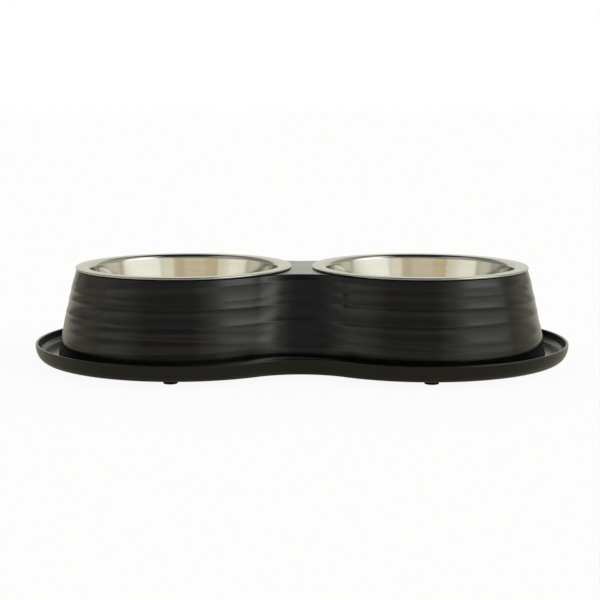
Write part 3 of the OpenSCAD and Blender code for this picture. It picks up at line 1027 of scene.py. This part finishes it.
def at_four_corners(small_part, tree, finish, most_turn, name):
    """Four copies of a small part under the tray, as one piece."""
    holder = placed("corner_holder", bpy.data.meshes.new("corner_holder"))
    made = grow(holder, tree, {"Small part": small_part, "Most turn": most_turn, "Finish": finish}, name)
    bpy.data.objects.remove(small_part)
    return made


# Studio

WHITE = (1.0, 1.0, 1.0, 1.0)
ROOM = (0.025, 0.025, 0.026, 1.0)
# Soft panels: (from azimuth, to azimuth, softness), (from elevation, to elevation, softness), colour
PANELS = [
    ((-60, 34, 8), (-20, 10, 2), (0.11, 0.115, 0.125, 1.0)),
    ((-37, 15, 4), (10.5, 16.5, 1.5), (0.84, 0.73, 0.52, 1.0)),
    ((-37, -23, 2), (10.5, 16.5, 1.5), (0.79, 0.64, 0.40, 1.0)),
    ((5, 17, 3), (10.5, 16.5, 1.5), (0.72, 0.61, 0.41, 1.0)),
    ((17, 34, 4), (7, 17, 3), (1.04, 0.97, 0.76, 1.0)),
    ((-60, 26, 12), (16.5, 27, 2), (0.22, 0.22, 0.22, 1.0)),
    ((-60, 26, 12), (27, 48, 3), (0.34, 0.34, 0.34, 1.0)),
    ((22, 38, 6), (17, 44, 4), (0.60, 0.58, 0.52, 1.0)),
    ((34, 92, 5), (-20, 7, 2), (0.72, 0.70, 0.59, 1.0)),
    ((34, 92, 5), (7, 14.5, 3), (1.30, 1.28, 1.13, 1.0)),
    ((35, 92, 8), (14.5, 20, 3), (1.46, 1.44, 1.34, 1.0)),
    ((43, 92, 13), (20, 36, 4), (2.50, 2.47, 2.38, 1.0)),
    ((54, 92, 16), (36, 64, 6), (1.50, 1.48, 1.42, 1.0)),
    ((-110, -37, 6), (-20, 7.5, 2), (0.30, 0.30, 0.27, 1.0)),
    ((-54, -38, 3), (8, 14, 2), (1.00, 0.94, 0.69, 1.0)),
    ((-84, -52, 5), (7, 13.5, 2), (1.16, 1.14, 0.95, 1.0)),
    ((-110, -84, 6), (3.5, 11.5, 2), (0.76, 0.72, 0.56, 1.0)),
    ((-105, -44, 12), (13.5, 20, 3), (0.72, 0.70, 0.64, 1.0)),
    ((-100, -46, 12), (20, 64, 6), (0.46, 0.45, 0.42, 1.0)),
    ((92, 152, 8), (-20, 3, 3), (0.42, 0.41, 0.34, 1.0)),
    ((92, 152, 8), (3.5, 10, 2), (0.80, 0.75, 0.57, 1.0)),
    ((92, 152, 8), (10, 64, 3), (0.44, 0.43, 0.38, 1.0)),
    ((-152, -108, 8), (-20, 3.5, 2), (0.22, 0.22, 0.20, 1.0)),
    ((-152, -108, 8), (3.5, 8, 2), (0.56, 0.53, 0.42, 1.0)),
    ((-152, -106, 8), (8, 64, 3), (0.27, 0.27, 0.25, 1.0)),
    ((148, 190, 8), (-20, 36, 8), (0.95, 0.96, 0.87, 1.0)),
    ((-190, -148, 8), (-20, 36, 8), (0.95, 0.96, 0.87, 1.0)),
]

# The floor lies a little below the feet. The camera sees its white, and gloss sees its painted reflection:
# painted shade in front and painted light behind
FLOOR_GAP = 0.05
FLOOR_HALF_W = 40000.0
FLOOR_COLOUR = (0.82, 0.78, 0.68, 1.0)
FLOOR_SEEN_COLOUR = (0.12, 0.12, 0.12, 1.0)
FLOOR_WHITE = (0.93, 0.93, 0.93, 1.0)
# Painted shade in front of the object and painted light behind it, which the floor glows with in gloss
FLOOR_GLOSS_PAINTED_SHADE = (0.10, 0.09, 0.06, 1.0)
FLOOR_GLOSS_PAINTED_LIGHT = (0.50, 0.48, 0.40, 1.0)
FLOOR_ROUGHNESS = 0.9
# Where the painted shade in front ends and the painted light behind begins, in metres along Y
FLOOR_PAINTED_SHADE_END = -0.12
FLOOR_PAINTED_LIGHT_START = 0.30

# Camera: sensor and lens in millimetres, place and furthest view in metres, angles in degrees
SENSOR_W = 36.0
LENS = 81.18
CAMERA_PLACE = (0.007, -1.0, 0.1903)
CAMERA_DOWN = 8.22
CAMERA_LEFT = 0.48
FURTHEST_VIEW = 50.0


def studio_panel_group():
    """How much of a soft panel lies in a direction of the studio. Azimuth 0 is behind the camera."""
    tree, given, result = new_tree("Studio panel", "ShaderNodeTree", [
        ("Azimuth", NUMBER, 0.0),
        ("Elevation", NUMBER, 0.0),
        ("From azimuth", NUMBER, -30.0),
        ("To azimuth", NUMBER, 30.0),
        ("Azimuth softness", NUMBER, 5.0),
        ("From elevation", NUMBER, 0.0),
        ("To elevation", NUMBER, 30.0),
        ("Elevation softness", NUMBER, 5.0),
    ], [("Share", NUMBER)])
    share = None
    for way in ("azimuth", "elevation"):
        value = given[way.capitalize()]
        softness = given[way.capitalize() + " softness"]
        past_start = result_of(tree, "SUBTRACT", value, given["From " + way])
        before_end = result_of(tree, "SUBTRACT", given["To " + way], value)
        for inside in (past_start, before_end):
            edge = tree.nodes.new("ShaderNodeMapRange")
            edge.interpolation_type = "SMOOTHSTEP"
            feed(tree, edge.inputs["Value"], result_of(tree, "DIVIDE", inside, softness))
            edge.inputs["From Min"].default_value = -1.0
            share = edge.outputs[0] if share is None else result_of(tree, "MULTIPLY", share, edge.outputs[0])
    feed(tree, result["Share"], share)
    return tree


def studio_light():
    """Soft panels round the object, and a white surround for the camera."""
    world = bpy.data.worlds.new("Soft studio")
    bpy.context.scene.world = world
    world.use_nodes = True
    tree = world.node_tree
    parts = parts_of(tree, tree.nodes.new("ShaderNodeTexCoord").outputs["Generated"])
    forward = result_of(tree, "MULTIPLY", parts["Y"], -1.0)
    azimuth = result_of(tree, "DEGREES", result_of(tree, "ARCTAN2", parts["X"], forward))
    elevation = result_of(tree, "DEGREES", result_of(tree, "ARCSINE", parts["Z"]))
    group = studio_panel_group()
    colour = ROOM
    for (first, last, sideways), (low, high, upwards), shade in PANELS:
        share = place_group(tree, group, {
            "Azimuth": azimuth,
            "From azimuth": float(first),
            "To azimuth": float(last),
            "Azimuth softness": float(sideways),
            "Elevation": elevation,
            "From elevation": float(low),
            "To elevation": float(high),
            "Elevation softness": float(upwards),
        })["Share"]
        colour = mixed(tree, share, colour, shade)
    seen = tree.nodes.new("ShaderNodeLightPath").outputs["Is Camera Ray"]
    background = tree.nodes["Background"].inputs
    feed(tree, background["Color"], mixed(tree, seen, colour, WHITE))
    background["Strength"].default_value = 1.0


def studio_floor():
    """A pale floor that is plain white to the camera. In its gloss it glows with painted shade, darker in
    front of the object, and painted light behind it.
    """
    skin = Skin()
    w = FLOOR_HALF_W
    corners = [(-w, -w), (w, -w), (w, w), (-w, w)]
    skin.faces.append(tuple(skin.ring([(x, y, -FLOOR_GAP) for x, y in corners])))
    plane = skin.piece("studio_floor")
    material, tree, surface, place = new_finish("Studio floor")
    light_path = tree.nodes.new("ShaderNodeLightPath").outputs
    seen = light_path["Is Camera Ray"]
    feed(tree, surface["Base Color"], mixed(tree, seen, FLOOR_COLOUR, FLOOR_SEEN_COLOUR))
    surface["Roughness"].default_value = FLOOR_ROUGHNESS
    surface["Specular IOR Level"].default_value = 0.0
    # Painted reflection: the floor glows in gloss, darker painted shade in front and paler painted light
    # behind
    painted_light_share = between(tree, parts_of(tree, place)["Y"], FLOOR_PAINTED_SHADE_END, FLOOR_PAINTED_LIGHT_START, 0.0, 1.0)
    painted_reflection = mixed(tree, painted_light_share, FLOOR_GLOSS_PAINTED_SHADE, FLOOR_GLOSS_PAINTED_LIGHT)
    feed(tree, surface["Emission Color"], mixed(tree, seen, painted_reflection, FLOOR_WHITE))
    feed(tree, surface["Emission Strength"], result_of(tree, "MAXIMUM", seen, light_path["Is Glossy Ray"]))
    plane.data.materials.append(material)


def camera():
    """The photograph's own view."""
    data = bpy.data.cameras.new("Camera")
    data.sensor_width = SENSOR_W
    data.lens = LENS
    data.clip_end = FURTHEST_VIEW
    eye = placed("Camera", data)
    eye.location = CAMERA_PLACE
    eye.rotation_euler = (math.radians(90 - CAMERA_DOWN), 0.0, math.radians(CAMERA_LEFT))
    bpy.context.scene.camera = eye


# The whole

camera()
bpy.context.scene.view_settings.view_transform = "Standard"

STAND_PLASTIC = black_plastic("Stand plastic", STAND_DEEP, STAND_PALE, STAND_ROUGHNESS, STAND_LINES)
# The tray's colours carry a painted warm reflection of the floor
TRAY_PLASTIC = black_plastic("Tray plastic", TRAY_DEEP_WITH_PAINTED_WARMTH, TRAY_PALE_WITH_PAINTED_WARMTH, TRAY_ROUGHNESS, TRAY_LINES)
STEEL = polished_steel()
RUBBER = foot_rubber()
ZINC = zinc_plate()

stand = grow(stand_piece(), rippled_wall_tree(), {"Finish": STAND_PLASTIC}, "rippled_stand")
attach(stand, "stand")
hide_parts("stand_shell")

tray = tray_piece()
tray.data.materials.append(TRAY_PLASTIC)
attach(tray, "stand")
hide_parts("base_tray")

for side, name in ((-1, "left"), (1, "right")):
    bowl = bowl_piece(side, "steel_bowl_" + name)
    bowl.data.materials.append(STEEL)
    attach(bowl, name + "_bowl")
    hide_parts("bowl_" + name)

corners_tree = four_corners_tree()
feet = at_four_corners(foot_shape(), corners_tree, RUBBER, 0.0, "rubber_feet")
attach(feet, "stand")
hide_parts("foot_front_left", "foot_front_right", "foot_back_left", "foot_back_right")
screws = at_four_corners(screw_shape(), corners_tree, ZINC, math.pi, "tapping_screws")
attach(screws, "stand")
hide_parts("screw_front_left", "screw_front_right", "screw_back_left", "screw_back_right")

studio_light()
studio_floor()
